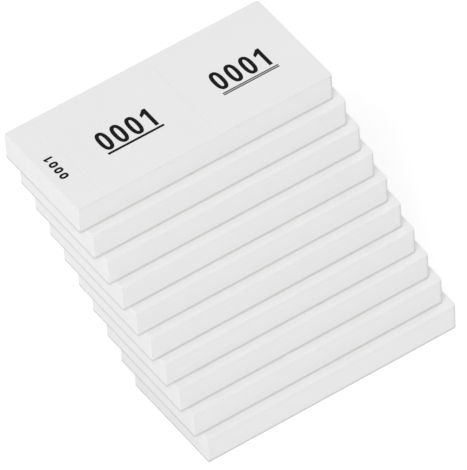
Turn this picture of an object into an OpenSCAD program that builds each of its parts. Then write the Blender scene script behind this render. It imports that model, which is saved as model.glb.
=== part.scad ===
// A stepped stack of ten numbered ticket pads.
// Each pad is a block of three-part sheets on a backing board. Padding glue on the stub end holds it.
// A sheet is a stub, a middle ticket and an end ticket, parted by two perforations, and each part
// carries the sheet's number. The two uppermost sheets of the top pad are separate leaves whose
// tickets fold up along the perforations, and its third sheet lies flat under them. Every pad lifts
// off the one below it.
// +X runs from the glued end to the free end, +Y from the front to the back and +Z up.
// The origin is the middle of the bottom of the stack's bounding box.

/* [Sheet] */
// Length of a sheet, from the glued end to the free end
sheet_length = 105; // [95:1:130]
// Width of a sheet, from the front to the back
sheet_width = 45; // [40:1:60]
// Thickness of one sheet
sheet_thickness = 0.104; // [0.07:0.001:0.15]
// Radius of the two corners at the free end
corner_radius = 1.2; // [0.5:0.1:3]
// Length of the stub, from the glued end to the first perforation
stub_length = 10.65; // [9:0.05:15]

/* [Pad] */
// Sheets in one pad
sheets_per_pad = 100; // [50:10:150]
// Thickness of the backing board under the sheets
board_thickness = 1.1; // [0.3:0.05:2]
// Thickness of the dried padding glue on the stub end
glue_thickness = 0.25; // [0.15:0.05:0.5]

/* [Stack] */
// Shift of each pad towards the free end, from the pad above it
step_along = 2.75; // [0:0.05:4]
// Shift of each pad towards the front, from the pad above it
step_across = 3.65; // [0:0.05:4.4]

/* [Perforation] */
// Length of one cut along the perforation
cut_length = 0.8; // [0.5:0.1:2]
// Width of one cut
cut_width = 0.04; // [0.03:0.01:0.15]
// Uncut paper between two cuts
tie_length = 0.8; // [0.4:0.1:1.2]

/* [Ticket numbers] */
// Thickness of the printed ink
ink_thickness = 0.02; // [0.02:0.01:0.05]
// Height of a ticket's digits
digit_height = 9.15; // [6:0.05:11]
// Width of a ticket's digits
digit_width = 4.6; // [4.2:0.1:5.4]
// Distance from one ticket digit to the next
digit_pitch = 6.1; // [5.6:0.1:7]
// Stroke of a ticket's digits
digit_stroke = 1.5; // [0.8:0.05:1.6]
// Height of the digits' baseline above the front edge
baseline = 16.8; // [8:0.1:20]
// Length of the lines under a ticket's number
underline_length = 23; // [16:0.5:27]
// Thickness of the single line under the middle ticket's number
underline_thickness = 0.95; // [0.4:0.05:1.1]
// Distance from the baseline down to the middle of the single line
underline_drop = 1.2; // [0.7:0.05:2]
// Thickness of each of the two lines under the end ticket's number
double_line_thickness = 0.47; // [0.2:0.01:0.55]
// Distance between the two lines, from middle to middle
double_line_pitch = 0.76; // [0.65:0.01:1.2]
// Distance from the baseline down to the middle of the two lines
double_line_drop = 1.75; // [1.2:0.05:3]

/* [Stub number] */
// Height of the stub's digits
stub_digit_height = 3.4; // [2.4:0.1:4]
// Width of the stub's digits
stub_digit_width = 2.45; // [2.25:0.05:2.8]
// Distance from one stub digit to the next
stub_digit_pitch = 3.2; // [3:0.05:4]
// Stroke of the stub's digits
stub_digit_stroke = 0.86; // [0.4:0.02:0.9]
// Distance of the stub number's baseline from the glued end
stub_baseline = 6.75; // [4.5:0.05:8.5]
// Distance of the stub number's middle from the front edge
stub_number_middle = 21.1; // [10:0.05:30]

/* [Hidden] */
PAD_COUNT = 10;
DIGITS = 4;
OVAL_POWER = 2.4;
ARC_STEP = 15;
CUT_OVERRUN = 0.05;
$fn = 48;

PAPER = [0.93, 0.93, 0.92];
BOARD = [0.72, 0.71, 0.69];
GLUE = [0.97, 0.97, 0.95];
INK = [0.13, 0.13, 0.14];

ticket_length = (sheet_length - stub_length) / 2;
first_perforation = stub_length;
second_perforation = stub_length + ticket_length;
cut_pitch = cut_length + tie_length;
cut_count = floor((sheet_width - tie_length) / cut_pitch);
cut_margin = (sheet_width - cut_count * cut_pitch + tie_length) / 2;
number_width = (DIGITS - 1) * digit_pitch + digit_width;
stub_number_width = (DIGITS - 1) * stub_digit_pitch + stub_digit_width;

// Heights inside a lower pad, from the bottom of its board
sheets_height = sheets_per_pad * sheet_thickness;
pad_height = board_thickness + sheets_height;
lower_top_sheet = pad_height - sheet_thickness;
// Heights inside the top pad, where the ink of each separate sheet lies under the next one
third_sheet = board_thickness + sheets_height - 3 * sheet_thickness;
second_sheet = third_sheet + sheet_thickness + ink_thickness;
first_sheet = second_sheet + sheet_thickness + ink_thickness;
top_pad_height = first_sheet + sheet_thickness;

pad_pitch = pad_height + ink_thickness;
run_along = (PAD_COUNT - 1) * step_along;
run_across = (PAD_COUNT - 1) * step_across;
left_end = -(sheet_length + glue_thickness + run_along) / 2 + glue_thickness;
top_pad_front = (run_across - sheet_width) / 2;

LOWER_PADS = [for (k = [2 : PAD_COUNT]) k];
TOP_NAMES = [
    "backing_board", "sheet_block", "glue_binding", "third_sheet", "third_sheet_numbers",
    "second_stub", "second_stub_number", "second_tickets", "second_ticket_numbers",
    "top_stub", "top_stub_number", "middle_ticket", "middle_ticket_number",
    "end_ticket", "end_ticket_number"
];
LOWER_NAMES = ["backing_board", "sheet_block", "glue_binding", "top_sheet", "top_sheet_numbers"];
NODES = concat(
    [for (name = TOP_NAMES) node_name(1, name)],
    [for (k = LOWER_PADS) for (name = LOWER_NAMES) node_name(k, name)]
);
node = "all";

function node_name(k, name) = str("pad_", k < 10 ? "0" : "", k, "_", name);
function wanted(k, name) = node == "all" || node == node_name(k, name);
// The number on the first sheet of pad k, where pad 1 is the top one
function first_number(k) = (k - 1) * sheets_per_pad + 1;
function digit_of(number, place) = floor(number / pow(10, DIGITS - 1 - place)) % 10;
function signed_power(value, power) = sign(value) * pow(abs(value), power);
function oval_sides(height) = height < digit_height / 2 ? 20 : 32;
function oval_points(width, height) =
    let (sides = oval_sides(height), power = 2 / OVAL_POWER)
    [for (i = [0 : sides - 1])
        let (a = 360 * i / sides)
        [width / 2 * signed_power(cos(a), power), height / 2 * signed_power(sin(a), power)]];
function arc_points(rx, ry, from, to) =
    let (steps = ceil(abs(to - from) / ARC_STEP))
    [for (i = [0 : steps]) let (a = from + (to - from) * i / steps) [rx * cos(a), ry * sin(a)]];

// Puts children, drawn from a pad's front corner at the glued end, into pad k
module in_pad(k, height = 0) {
    translate([
        left_end + (k - 1) * step_along,
        top_pad_front - (k - 1) * step_across,
        (PAD_COUNT - k) * pad_pitch + height
    ])
        children();
}

// Outline of a sheet from a station along it to the free end, with the free end's corners rounded
module free_end_outline(from) {
    translate([from, 0])
        square([sheet_length - corner_radius - from, sheet_width]);
    translate([from, corner_radius])
        square([sheet_length - from, sheet_width - 2 * corner_radius]);
    for (y = [corner_radius, sheet_width - corner_radius])
        translate([sheet_length - corner_radius, y])
            circle(corner_radius);
}

module free_end_plate(from, thickness) {
    linear_extrude(thickness)
        free_end_outline(from);
}

// A row of perforation cuts through one sheet, just past a station along it
module cut_row(station) {
    for (i = [0 : cut_count - 1])
        translate([station, cut_margin + i * cut_pitch, -CUT_OVERRUN])
            cube([cut_width, cut_length, sheet_thickness + 2 * CUT_OVERRUN]);
}

// One ring of a digit
module ring(width, height, stroke) {
    difference() {
        polygon(oval_points(width, height));
        polygon(oval_points(width - 2 * stroke, height - 2 * stroke));
    }
}

// Part of an elliptical ring, between two angles
module band(rx, ry, stroke, from, to) {
    polygon(concat(arc_points(rx, ry, from, to), arc_points(rx - stroke, ry - stroke, to, from)));
}

module digit_0(w, h, s) {
    translate([w / 2, h / 2])
        ring(w, h, s);
}

module digit_1(w, h, s) {
    stem_right = 0.77 * w;
    flag_tip = 0.06 * w;
    translate([stem_right - s, 0])
        square([s, h]);
    polygon([
        [stem_right - 0.8 * s, h],
        [flag_tip, 0.8 * h],
        [flag_tip, 0.65 * h],
        [stem_right - 0.5 * s, 0.8 * h]
    ]);
}

module digit_2(w, h, s) {
    r = w / 2;
    end = -35;
    bowl = [r, h - r];
    polygon(concat(
        [for (p = arc_points(r, r, 180, end)) bowl + p],
        [[1.45 * s, s], [w, s], [w, 0], [0, 0], [0, s]],
        [for (p = arc_points(r - s, r - s, end, 180)) bowl + p]
    ));
}

module digit_3(w, h, s) {
    ry = (h + s) / 4;
    tip = 160;
    translate([w / 2, h - ry])
        band(w / 2, ry, s, -90, tip);
    translate([w / 2, ry])
        band(w / 2, ry, s, -tip, 90);
}

module digit_4(w, h, s) {
    stem = w - 1.55 * s;
    bar = 0.2 * h;
    counter_left = 0.85 * s;
    slope = (h - bar - s) / stem;
    difference() {
        polygon([
            [0, bar],
            [0, bar + s],
            [stem, h],
            [stem + s, h],
            [stem + s, bar + s],
            [w, bar + s],
            [w, bar],
            [stem + s, bar],
            [stem + s, 0],
            [stem, 0],
            [stem, bar]
        ]);
        polygon([
            [counter_left, bar + s],
            [stem, bar + s],
            [stem, bar + s + (stem - counter_left) * slope]
        ]);
    }
}

module digit_5(w, h, s) {
    ry = 0.33 * h;
    left = 0.12 * w;
    lower_tip = -155;
    upper_tip = 145;
    translate([w / 2, ry])
        band(w / 2, ry, s, lower_tip, upper_tip);
    translate([left, h / 2])
        square([0.9 * s, h / 2]);
    translate([left, h - s])
        square([0.8 * w, s]);
}

module digit_6(w, h, s) {
    ry = 0.325 * h;
    tip = 35;
    translate([w / 2, ry])
        ring(w, 2 * ry, s);
    translate([0, ry])
        square([s, h / 2 - ry]);
    translate([w / 2, h / 2])
        band(w / 2, h / 2, s, tip, 180);
}

module digit_7(w, h, s) {
    foot = 0.45 * w;
    polygon([
        [0, h],
        [w, h],
        [w, h - s],
        [foot, 0],
        [foot - 1.15 * s, 0],
        [w - 1.3 * s, h - s],
        [0, h - s]
    ]);
}

module digit_8(w, h, s) {
    ry = (h + s) / 4;
    for (y = [ry, h - ry])
        translate([w / 2, y])
            ring(w, 2 * ry, s);
}

module digit_9(w, h, s) {
    translate([w, h])
        rotate(180)
            digit_6(w, h, s);
}

module digit(value, w, h, s) {
    if (value == 0) digit_0(w, h, s);
    if (value == 1) digit_1(w, h, s);
    if (value == 2) digit_2(w, h, s);
    if (value == 3) digit_3(w, h, s);
    if (value == 4) digit_4(w, h, s);
    if (value == 5) digit_5(w, h, s);
    if (value == 6) digit_6(w, h, s);
    if (value == 7) digit_7(w, h, s);
    if (value == 8) digit_8(w, h, s);
    if (value == 9) digit_9(w, h, s);
}

// The stub's number reads from the front to the back
module stub_number(number) {
    translate([stub_baseline, stub_number_middle - stub_number_width / 2])
        rotate(90)
            for (i = [0 : DIGITS - 1])
                translate([i * stub_digit_pitch, 0])
                    digit(digit_of(number, i), stub_digit_width, stub_digit_height, stub_digit_stroke);
}

// A ticket's number stands in the middle of a ticket that starts at a perforation
module ticket_number(number, perforation) {
    translate([perforation + (ticket_length - number_width) / 2, baseline])
        for (i = [0 : DIGITS - 1])
            translate([i * digit_pitch, 0])
                digit(digit_of(number, i), digit_width, digit_height, digit_stroke);
}

module underline(perforation, drop, thickness) {
    translate([perforation + (ticket_length - underline_length) / 2, baseline - drop - thickness / 2])
        square([underline_length, thickness]);
}

module middle_number(number) {
    ticket_number(number, first_perforation);
    underline(first_perforation, underline_drop, underline_thickness);
}

module end_number(number) {
    ticket_number(number, second_perforation);
    for (side = [-1, 1])
        underline(second_perforation, double_line_drop + side * double_line_pitch / 2, double_line_thickness);
}

module backing_board(k) {
    color(BOARD)
        in_pad(k)
            free_end_plate(0, board_thickness);
}

module sheet_block(k, block_top) {
    color(PAPER)
        in_pad(k, board_thickness)
            free_end_plate(0, block_top - board_thickness);
}

module glue_binding(k, height) {
    color(GLUE)
        in_pad(k)
            translate([-glue_thickness, 0, 0])
                cube([glue_thickness, sheet_width, height]);
}

module whole_sheet(k, height) {
    color(PAPER)
        in_pad(k, height)
            difference() {
                free_end_plate(0, sheet_thickness);
                cut_row(first_perforation);
                cut_row(second_perforation);
            }
}

module whole_sheet_numbers(k, height, number) {
    color(INK)
        in_pad(k, height + sheet_thickness)
            linear_extrude(ink_thickness) {
                stub_number(number);
                middle_number(number);
                end_number(number);
            }
}

// The top pad's separate leaves: a stub that stays glued, and tickets that fold up
module leaf_stub(height) {
    color(PAPER)
        in_pad(1, height)
            cube([stub_length, sheet_width, sheet_thickness]);
}

module leaf_stub_number(height, number) {
    color(INK)
        in_pad(1, height + sheet_thickness)
            linear_extrude(ink_thickness)
                stub_number(number);
}

module second_tickets() {
    color(PAPER)
        in_pad(1, second_sheet)
            difference() {
                free_end_plate(first_perforation, sheet_thickness);
                cut_row(first_perforation);
                cut_row(second_perforation);
            }
}

module second_ticket_numbers() {
    color(INK)
        in_pad(1, second_sheet + sheet_thickness)
            linear_extrude(ink_thickness) {
                middle_number(first_number(1) + 1);
                end_number(first_number(1) + 1);
            }
}

module middle_ticket() {
    color(PAPER)
        in_pad(1, first_sheet)
            difference() {
                translate([first_perforation, 0, 0])
                    cube([ticket_length, sheet_width, sheet_thickness]);
                cut_row(first_perforation);
            }
}

module middle_ticket_number() {
    color(INK)
        in_pad(1, top_pad_height)
            linear_extrude(ink_thickness)
                middle_number(first_number(1));
}

module end_ticket() {
    color(PAPER)
        in_pad(1, first_sheet)
            difference() {
                free_end_plate(second_perforation, sheet_thickness);
                cut_row(second_perforation);
            }
}

module end_ticket_number() {
    color(INK)
        in_pad(1, top_pad_height)
            linear_extrude(ink_thickness)
                end_number(first_number(1));
}

if (wanted(1, "backing_board")) backing_board(1);
if (wanted(1, "sheet_block")) sheet_block(1, third_sheet);
if (wanted(1, "glue_binding")) glue_binding(1, top_pad_height);
if (wanted(1, "third_sheet")) whole_sheet(1, third_sheet);
if (wanted(1, "third_sheet_numbers")) whole_sheet_numbers(1, third_sheet, first_number(1) + 2);
if (wanted(1, "second_stub")) leaf_stub(second_sheet);
if (wanted(1, "second_stub_number")) leaf_stub_number(second_sheet, first_number(1) + 1);
if (wanted(1, "second_tickets")) second_tickets();
if (wanted(1, "second_ticket_numbers")) second_ticket_numbers();
if (wanted(1, "top_stub")) leaf_stub(first_sheet);
if (wanted(1, "top_stub_number")) leaf_stub_number(first_sheet, first_number(1));
if (wanted(1, "middle_ticket")) middle_ticket();
if (wanted(1, "middle_ticket_number")) middle_ticket_number();
if (wanted(1, "end_ticket")) end_ticket();
if (wanted(1, "end_ticket_number")) end_ticket_number();
for (k = LOWER_PADS) {
    if (wanted(k, "backing_board")) backing_board(k);
    if (wanted(k, "sheet_block")) sheet_block(k, lower_top_sheet);
    if (wanted(k, "glue_binding")) glue_binding(k, pad_height);
    if (wanted(k, "top_sheet")) whole_sheet(k, lower_top_sheet);
    if (wanted(k, "top_sheet_numbers")) whole_sheet_numbers(k, lower_top_sheet, first_number(k));
}
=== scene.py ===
import math
import random

import bmesh
import bpy
from mathutils import Euler, Matrix, Vector, noise


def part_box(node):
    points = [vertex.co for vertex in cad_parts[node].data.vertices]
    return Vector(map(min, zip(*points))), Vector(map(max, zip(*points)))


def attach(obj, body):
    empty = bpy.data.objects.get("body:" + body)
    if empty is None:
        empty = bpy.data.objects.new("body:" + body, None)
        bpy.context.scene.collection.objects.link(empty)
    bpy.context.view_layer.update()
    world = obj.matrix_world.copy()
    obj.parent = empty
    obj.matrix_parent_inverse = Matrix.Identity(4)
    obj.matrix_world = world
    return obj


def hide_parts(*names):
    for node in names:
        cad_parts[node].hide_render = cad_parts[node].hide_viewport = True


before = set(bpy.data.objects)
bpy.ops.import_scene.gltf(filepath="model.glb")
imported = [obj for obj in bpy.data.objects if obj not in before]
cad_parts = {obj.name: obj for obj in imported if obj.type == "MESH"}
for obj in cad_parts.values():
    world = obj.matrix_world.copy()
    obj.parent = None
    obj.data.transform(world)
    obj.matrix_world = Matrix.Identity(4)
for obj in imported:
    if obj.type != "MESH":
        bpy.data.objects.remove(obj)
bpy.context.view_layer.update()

PADS = [f"pad_{k:02d}" for k in range(1, 11)]

# Sizes in metres
MM = 0.001
SHEET_PITCH = 0.104 * MM
SHEET_GAP = 0.005 * MM
SHEET_SLIP = 0.035 * MM
CORNER_RADIUS = 1.2 * MM
BOARD_SOFTENING = 0.06 * MM
GLUE_RIPPLE = 0.06 * MM
GLUE_RIM = 0.5 * MM
GLUE_RIM_DEPTH = 0.12 * MM
STREAK_LENGTH = 7 * MM
STREAK_HEIGHT = 1.4 * MM
CLOSE = 0.0001 * MM

# Depths of the bumps in the finishes, in metres
PAPER_RELIEF = 0.006 * MM
TRIMMED_RELIEF = 0.01 * MM
BOARD_RELIEF = 0.02 * MM
GLUE_RELIEF = 0.02 * MM

# Numbers of cuts and segments
CORNER_SEGMENTS = 5
SOFTENING_SEGMENTS = 2
GLUE_COLUMNS = 60
GLUE_ROWS = 14

# Least share of both X and Y in the normal of a face on a rounded corner
ROUNDED = 0.01

# Darkest and lightest shade of each finish
PAPER_SHADES = (0.77, 0.82)
# The cut sides are set lighter than the sheet paper: painted light on the sides, which get less of the lamps
# than the tops
TRIMMED_SHADES = (0.828, 0.899)
# Painted shade on the rounded corners at the free end
SHADED_CORNER_SHADES = (0.72, 0.79)
GLUE_ON_PAPER_SHADES = (0.835, 0.905)
GLUE_ON_BOARD_SHADES = (0.64, 0.76)
INK_SHADES = (0.004, 0.035)
BOARD_SHADES = ((0.62, 0.615, 0.605), (0.81, 0.805, 0.795))
FLOOR_SHADE = 0.9

# Camera, fitted to the corners of the pads in the photograph
PHOTO_HEIGHT = 470
FOCAL_PIXELS = 10000
SENSOR_HEIGHT = 36.0
CAMERA_TARGET = Vector((-0.055, -0.079, 56.0)) * MM
CAMERA_DISTANCE = 3.44432
CAMERA_AZIMUTH = math.radians(-32.100)
CAMERA_ELEVATION = math.radians(46.972)
CAMERA_ROLL = math.radians(-3.618)

# Studio
FLOOR_SIZE = 3.0
FLOOR_LIFT = 0.27
ROOM_LIGHT = 0.495
SOFTBOX_SIZE = 2.7
KEY_PLACE = Vector((-2.40, -1.95, 2.83))
KEY_POWER = 86.5
FILL_PLACE = Vector((1.9, 0.2, 3.2))
FILL_POWER = 40.0


class Value:
    """A socket in a node tree. Arithmetic on it adds Math nodes."""

    def __init__(self, finish, socket):
        self.finish = finish
        self.socket = socket

    def maths(self, operation, first, second):
        return self.finish.node("ShaderNodeMath", {"operation": operation}, {0: first, 1: second})

    def __add__(self, other):
        return self.maths("ADD", self, other)

    def __radd__(self, other):
        return self.maths("ADD", other, self)

    def __sub__(self, other):
        return self.maths("SUBTRACT", self, other)

    def __rsub__(self, other):
        return self.maths("SUBTRACT", other, self)

    def __mul__(self, other):
        return self.maths("MULTIPLY", self, other)

    def __rmul__(self, other):
        return self.maths("MULTIPLY", other, self)


class Finish:
    """The nodes of a material or of the world."""

    def __init__(self, owner, shader="Principled BSDF"):
        owner.use_nodes = True
        self.owner = owner
        self.tree = owner.node_tree
        self.shader = self.tree.nodes[shader]

    def node(self, kind, settings, inputs, output=0):
        made = self.tree.nodes.new(kind)
        for name, value in settings.items():
            setattr(made, name, value)
        for name, value in inputs.items():
            self.feed(made.inputs[name], value)
        return Value(self, made.outputs[output])

    def feed(self, socket, value):
        if isinstance(value, Value):
            self.tree.links.new(value.socket, socket)
        else:
            socket.default_value = value

    def surface(self, **inputs):
        """Sets sockets of the shader, with _ for each space in a socket's name."""
        for name, value in inputs.items():
            self.feed(self.shader.inputs[name.replace("_", " ")], value)

    def grain(self, cell, detail):
        """Noise from 0 to 1 with cells of the given size along X, Y and Z."""
        place = self.node("ShaderNodeTexCoord", {}, {}, "Object")
        scale = [1 / length for length in cell]
        place = self.node("ShaderNodeMapping", {}, {"Vector": place, "Scale": scale})
        return self.node("ShaderNodeTexNoise", {}, {"Vector": place, "Scale": 1.0, "Detail": detail})

    def above(self, value, low, high):
        """0 up to low, 1 from high on."""
        return self.node("ShaderNodeMapRange", {}, {"Value": value, "From Min": low, "From Max": high})

    def blend(self, first, second, factor):
        """A colour between two colours."""
        inputs = {0: factor, 6: (*first, 1.0), 7: (*second, 1.0)}
        return self.node("ShaderNodeMix", {"data_type": "RGBA"}, inputs, 2)

    def greys(self, shades, factor):
        """A grey between the darkest and the lightest shade."""
        return self.blend(grey(shades[0]), grey(shades[1]), factor)

    def relief(self, height, depth):
        """Bump from a height of 0 to 1 that stands for a depth in metres."""
        bump = self.node("ShaderNodeBump", {}, {"Height": height, "Strength": 1.0, "Distance": depth})
        self.surface(Normal=bump)

    def seen_directly(self):
        """1 for what the camera, a reflection or a clear body shows, 0 for light that falls on things."""
        rays = ("Is Camera Ray", "Is Glossy Ray", "Is Transmission Ray")
        camera, glossy, clear = (self.node("ShaderNodeLightPath", {}, {}, ray) for ray in rays)
        return self.above(camera + glossy + clear, 0.0, 1.0)


def new_finish(name):
    return Finish(bpy.data.materials.new(name))


def grey(level):
    return (level, level, level)


def sheet_paper():
    """Smooth uncoated white paper: cloudy formation and short fibres along the sheet."""
    finish = new_finish("sheet_paper")
    cloud = finish.grain((14 * MM, 14 * MM, 14 * MM), 3.0)
    fibre = finish.grain((1.6 * MM, 0.45 * MM, 0.5 * MM), 3.0)
    tone = 0.45 * cloud + 0.55 * fibre
    finish.surface(Base_Color=finish.greys(PAPER_SHADES, tone))
    finish.surface(Roughness=0.78 + 0.14 * fibre, Specular_IOR_Level=0.3)
    finish.relief(fibre, PAPER_RELIEF)
    return finish.owner


def trimmed_paper(name, shades):
    """The cut sides of the stacked sheets: each one a little lighter or darker than the next."""
    finish = new_finish(name)
    layers = finish.grain((60 * MM, 60 * MM, 0.17 * MM), 2.0)
    bands = finish.grain((90 * MM, 90 * MM, 1.1 * MM), 2.0)
    fibre = finish.grain((0.5 * MM, 0.5 * MM, 0.3 * MM), 2.0)
    tone = 0.5 * layers + 0.3 * bands + 0.2 * fibre
    finish.surface(Base_Color=finish.greys(shades, tone))
    finish.surface(Roughness=0.82 + 0.12 * fibre, Specular_IOR_Level=0.25)
    finish.relief(0.6 * layers + 0.4 * fibre, TRIMMED_RELIEF)
    return finish.owner


def grey_board():
    """Unlined recycled board: pale grey pulp with darker and paler flecks."""
    finish = new_finish("grey_board")
    pulp = finish.grain((2.4 * MM, 0.9 * MM, 0.5 * MM), 4.0)
    flecks = finish.grain((0.5 * MM, 0.22 * MM, 0.25 * MM), 2.0)
    dark = finish.above(flecks, 0.63, 0.72)
    pale = finish.above(1.0 - flecks, 0.64, 0.74)
    tone = 0.45 * pulp + 0.25 + 0.3 * pale - 0.35 * dark
    finish.surface(Base_Color=finish.blend(*BOARD_SHADES, tone))
    finish.surface(Roughness=0.86 + 0.1 * pulp, Specular_IOR_Level=0.2)
    finish.relief(0.6 * pulp + 0.4 * flecks, BOARD_RELIEF)
    return finish.owner


def padding_glue(name, shades):
    """Dried padding glue, brushed along the stub end, over what shows through it."""
    finish = new_finish(name)
    brush = finish.grain((5 * MM, 16 * MM, 0.5 * MM), 3.0)
    cloud = finish.grain((3 * MM, 5 * MM, 3 * MM), 2.0)
    tone = 0.6 * brush + 0.4 * cloud
    finish.surface(Base_Color=finish.greys(shades, tone))
    finish.surface(Roughness=0.42 + 0.22 * brush, Specular_IOR_Level=0.4)
    finish.relief(brush, GLUE_RELIEF)
    return finish.owner


def printed_ink():
    """Black numbering ink, a little thin where the paper's fibres show through."""
    finish = new_finish("printed_ink")
    soak = finish.grain((0.35 * MM, 0.35 * MM, 0.35 * MM), 3.0)
    thin = finish.above(soak, 0.66, 0.76)
    tone = 0.25 * soak + 0.7 * thin
    finish.surface(Base_Color=finish.greys(INK_SHADES, tone))
    finish.surface(Roughness=0.6 + 0.3 * soak, Specular_IOR_Level=0.06)
    return finish.owner


def white_floor():
    """A pale floor that looks white where the stack doesn't shade it."""
    finish = new_finish("white_floor")
    glow = finish.greys((0.0, FLOOR_LIFT), finish.seen_directly())
    finish.surface(Base_Color=(*grey(FLOOR_SHADE), 1.0), Roughness=0.95, Specular_IOR_Level=0.0)
    finish.surface(Emission_Color=glow, Emission_Strength=1.0)
    return finish.owner


PAPER = sheet_paper()
# Cut sides: painted light, lighter than the sheet paper, over their own layer-to-layer tone
TRIMMED = trimmed_paper("trimmed_paper", TRIMMED_SHADES)
# Painted shade for the rounded corners at the free end
SHADED_CORNERS = trimmed_paper("painted_shade_corners", SHADED_CORNER_SHADES)
BOARD = grey_board()
GLUE_ON_PAPER = padding_glue("glue_on_paper", GLUE_ON_PAPER_SHADES)
GLUE_ON_BOARD = padding_glue("glue_on_board", GLUE_ON_BOARD_SHADES)
INK = printed_ink()


def corners(node):
    low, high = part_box(node)
    return Vector(low), Vector(high)


def add_block(bm, low, high):
    """A closed box between two corners."""
    place = Matrix.Translation((low + high) / 2) @ Matrix.Diagonal((*(high - low), 1.0))
    bmesh.ops.create_cube(bm, size=1.0, matrix=place)


def along(edge, axis):
    """True for an edge that runs along one axis only."""
    span = edge.verts[1].co - edge.verts[0].co
    return abs(span[axis]) > CLOSE and span.length - abs(span[axis]) < CLOSE


def round_edges(bm, edges, radius, segments):
    bmesh.ops.bevel(
        bm, geom=edges, offset=radius, offset_type="OFFSET", segments=segments,
        profile=0.5, affect="EDGES", material=-1,
    )


def round_free_end(bm, x):
    """Rounds the two upright corners at the free end."""
    upright = [edge for edge in bm.edges if along(edge, 2)]
    free = [edge for edge in upright if abs(edge.verts[0].co.x - x) < CLOSE]
    round_edges(bm, free, CORNER_RADIUS, CORNER_SEGMENTS)


def add_piece(name, bm, pad, slot, node, *materials):
    """Makes a piece that rides on a pad and stands for a CAD node."""
    bmesh.ops.recalc_face_normals(bm, faces=bm.faces)
    mesh = bpy.data.meshes.new(name)
    bm.to_mesh(mesh)
    bm.free()
    for material in materials:
        mesh.materials.append(material)
    piece = bpy.data.objects.new(name, mesh)
    bpy.context.scene.collection.objects.link(piece)
    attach(piece, pad)
    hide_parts(node)


def verts_of(items):
    return [item for item in items if isinstance(item, bmesh.types.BMVert)]


def add_sheets(pad, seed):
    """The stacked sheets, each one trimmed and slipped a few hundredths of a millimetre.

    Their rounded corners at the free end get a darker finish: painted shade where they turn away from the
    light.
    """
    node = f"{pad}_sheet_block"
    low, high = corners(node)
    draw = random.Random(seed)
    bm = bmesh.new()
    top = Vector((high.x, high.y, low.z + SHEET_PITCH - SHEET_GAP))
    add_block(bm, low, top)
    round_free_end(bm, high.x)
    bm.normal_update()
    for face in bm.faces:
        # Faces on the rounded corners take the second finish, with painted shade
        face.material_index = int(min(abs(face.normal.x), abs(face.normal.y)) > ROUNDED)
    pattern = bm.verts[:] + bm.edges[:] + bm.faces[:]
    middle = Matrix.Translation(-(low + top) / 2)
    length, width = high.x - low.x, high.y - low.y
    for level in range(round((high.z - low.z) / SHEET_PITCH)):
        left, right, front, back = (draw.uniform(0.0, SHEET_SLIP) for side in range(4))
        size = Vector((1 - (left + right) / length, 1 - (front + back) / width, 1.0))
        shift = Vector(((left - right) / 2, (front - back) / 2, level * SHEET_PITCH))
        sheet = verts_of(bmesh.ops.duplicate(bm, geom=pattern)["geom"])
        bmesh.ops.scale(bm, vec=size, space=middle, verts=sheet)
        bmesh.ops.translate(bm, vec=shift, verts=sheet)
    bmesh.ops.delete(bm, geom=verts_of(pattern), context="VERTS")
    add_piece(f"{pad}_sheets", bm, pad, "paper", node, TRIMMED, SHADED_CORNERS)


def add_board(pad):
    """The grey board under the sheets, with slightly soft cut edges."""
    node = f"{pad}_backing_board"
    low, high = corners(node)
    bm = bmesh.new()
    add_block(bm, low, high)
    round_free_end(bm, high.x)
    rims = [edge for edge in bm.edges if not along(edge, 2)]
    round_edges(bm, rims, BOARD_SOFTENING, SOFTENING_SEGMENTS)
    add_piece(f"{pad}_board", bm, pad, "board", node, BOARD)


def add_glue(pad, seed):
    """The brushed film of glue on the stub end: rippled, thin at its rims, cut off flush under the board."""
    node = f"{pad}_glue_binding"
    low, high = corners(node)
    board_top = corners(f"{pad}_backing_board")[1].z
    bm = bmesh.new()
    add_block(bm, low, high)
    for axis, cuts in ((1, GLUE_COLUMNS), (2, GLUE_ROWS)):
        edges = [edge for edge in bm.edges if along(edge, axis)]
        bmesh.ops.subdivide_edges(bm, edges=edges, cuts=cuts, use_grid_fill=True)
    everything = bm.verts[:] + bm.edges[:] + bm.faces[:]
    bmesh.ops.bisect_plane(bm, geom=everything, plane_co=(0, 0, board_top), plane_no=(0, 0, 1))
    for vert in bm.verts:
        x, y, z = vert.co
        if x - low.x > CLOSE:
            continue
        rim = max(0.0, 1.0 - min(y - low.y, high.y - y, high.z - z) / GLUE_RIM)
        streak = noise.noise(Vector((y / STREAK_LENGTH, z / STREAK_HEIGHT, seed)))
        vert.co.x += GLUE_RIM_DEPTH * rim * rim + GLUE_RIPPLE * (0.5 + 0.5 * streak)
    for face in bm.faces:
        face.material_index = int(face.calc_center_median().z < board_top)
    add_piece(f"{pad}_glue", bm, pad, "glue", node, GLUE_ON_PAPER, GLUE_ON_BOARD)


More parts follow.
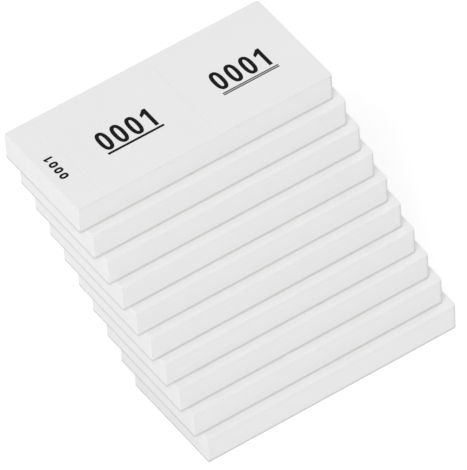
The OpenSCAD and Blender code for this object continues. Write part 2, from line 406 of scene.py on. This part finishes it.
for seed, pad in enumerate(PADS):
    add_sheets(pad, seed)
    add_board(pad)
    add_glue(pad, seed)

for name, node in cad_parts.items():
    node.data.materials.clear()
    node.data.materials.append(INK if "number" in name else PAPER)


def add_floor():
    bm = bmesh.new()
    bmesh.ops.create_grid(bm, x_segments=1, y_segments=1, size=FLOOR_SIZE)
    mesh = bpy.data.meshes.new("floor")
    bm.to_mesh(mesh)
    bm.free()
    mesh.materials.append(white_floor())
    floor = bpy.data.objects.new("floor", mesh)
    bpy.context.scene.collection.objects.link(floor)


def add_room():
    """Even white light from all round."""
    world = bpy.data.worlds.new("room")
    bpy.context.scene.world = world
    room = Finish(world, "Background")
    strength = ROOM_LIGHT + (1.0 - ROOM_LIGHT) * room.seen_directly()
    room.surface(Color=(*grey(1.0), 1.0), Strength=strength)


def add_softbox(name, place, power):
    """A large soft lamp that points at the stack."""
    lamp = bpy.data.lights.new(name, "AREA")
    lamp.size = SOFTBOX_SIZE
    lamp.energy = power
    softbox = bpy.data.objects.new(name, lamp)
    softbox.location = place
    softbox.rotation_euler = (CAMERA_TARGET - place).to_track_quat("-Z", "Y").to_euler()
    bpy.context.scene.collection.objects.link(softbox)


def add_camera():
    lens = bpy.data.cameras.new("camera")
    lens.sensor_fit = "VERTICAL"
    lens.sensor_height = SENSOR_HEIGHT
    lens.lens = FOCAL_PIXELS / PHOTO_HEIGHT * SENSOR_HEIGHT
    camera = bpy.data.objects.new("camera", lens)
    level = Euler((math.pi / 2 - CAMERA_ELEVATION, 0.0, CAMERA_AZIMUTH)).to_matrix()
    camera.location = CAMERA_TARGET + level @ Vector((0.0, 0.0, CAMERA_DISTANCE))
    camera.rotation_euler = (level @ Matrix.Rotation(CAMERA_ROLL, 3, "Z")).to_euler()
    bpy.context.scene.collection.objects.link(camera)
    bpy.context.scene.camera = camera


add_floor()
add_room()
add_softbox("key", KEY_PLACE, KEY_POWER)
add_softbox("fill", FILL_PLACE, FILL_POWER)
add_camera()
bpy.context.scene.view_settings.view_transform = "Standard"
